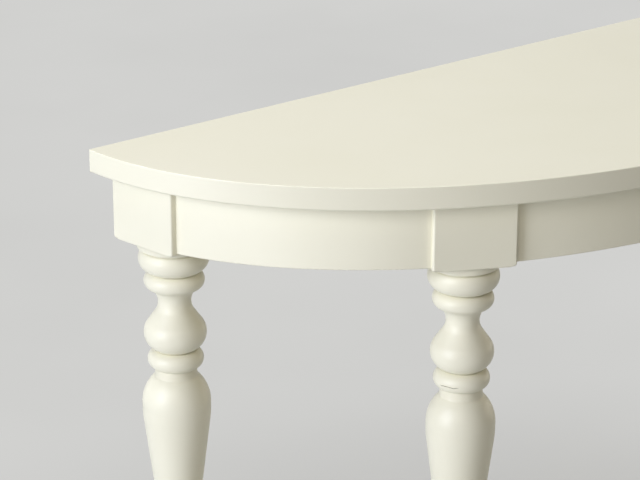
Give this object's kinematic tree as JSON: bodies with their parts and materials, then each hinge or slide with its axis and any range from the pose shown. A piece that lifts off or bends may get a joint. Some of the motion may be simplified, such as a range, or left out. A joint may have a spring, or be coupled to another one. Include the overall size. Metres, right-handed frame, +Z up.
{
  "type": "demilune table",
  "caption": "Half-oval occasional table that stands against a wall, with curved aprons set back between square-topped turned legs and a plain board top.",
  "frame": {"origin": "on the floor, under the middle of the table's overall box", "axes": "+Z up, the bowed front faces -Y and the straight back edge faces +Y, +X runs along the back edge to the right seen from the front"},
  "size_m": [0.9, 0.322, 0.75],
  "materials": {
    "cream_lacquer": "cream-white satin lacquer over wood",
    "bare_pine": "planed, unfinished",
    "beech_dowel": "turned, unfinished",
    "zinc_steel": "zinc plated",
    "nylon_glide": "moulded, matt"
  },
  "bodies": {
    "root": {"table_top": "cream_lacquer", "left_back_leg": "cream_lacquer", "left_front_leg": "cream_lacquer", "right_front_leg": "cream_lacquer", "right_back_leg": "cream_lacquer", "left_apron": "cream_lacquer", "front_apron": "cream_lacquer", "right_apron": "cream_lacquer", "back_rail": "cream_lacquer", "centre_bearer": "bare_pine", "left_back_left_apron_glue_block": "bare_pine", "left_front_left_apron_glue_block": "bare_pine", "left_front_front_apron_glue_block": "bare_pine", "right_front_front_apron_glue_block": "bare_pine", "right_front_right_apron_glue_block": "bare_pine", "right_back_right_apron_glue_block": "bare_pine", "left_back_rail_glue_block": "bare_pine", "right_back_rail_glue_block": "bare_pine", "left_apron_dowels": "beech_dowel", "front_apron_dowels": "beech_dowel", "right_apron_dowels": "beech_dowel", "back_rail_dowels": "beech_dowel", "bearer_dowels": "beech_dowel", "left_apron_bracket": "zinc_steel", "front_apron_left_bracket": "zinc_steel", "front_apron_right_bracket": "zinc_steel", "right_apron_bracket": "zinc_steel", "back_rail_left_bracket": "zinc_steel", "back_rail_right_bracket": "zinc_steel", "bracket_screws": "zinc_steel", "bearer_screws": "zinc_steel", "left_back_glide": "nylon_glide", "left_front_glide": "nylon_glide", "right_front_glide": "nylon_glide", "right_back_glide": "nylon_glide", "glide_nails": "zinc_steel"}
  },
  "joints": []
}
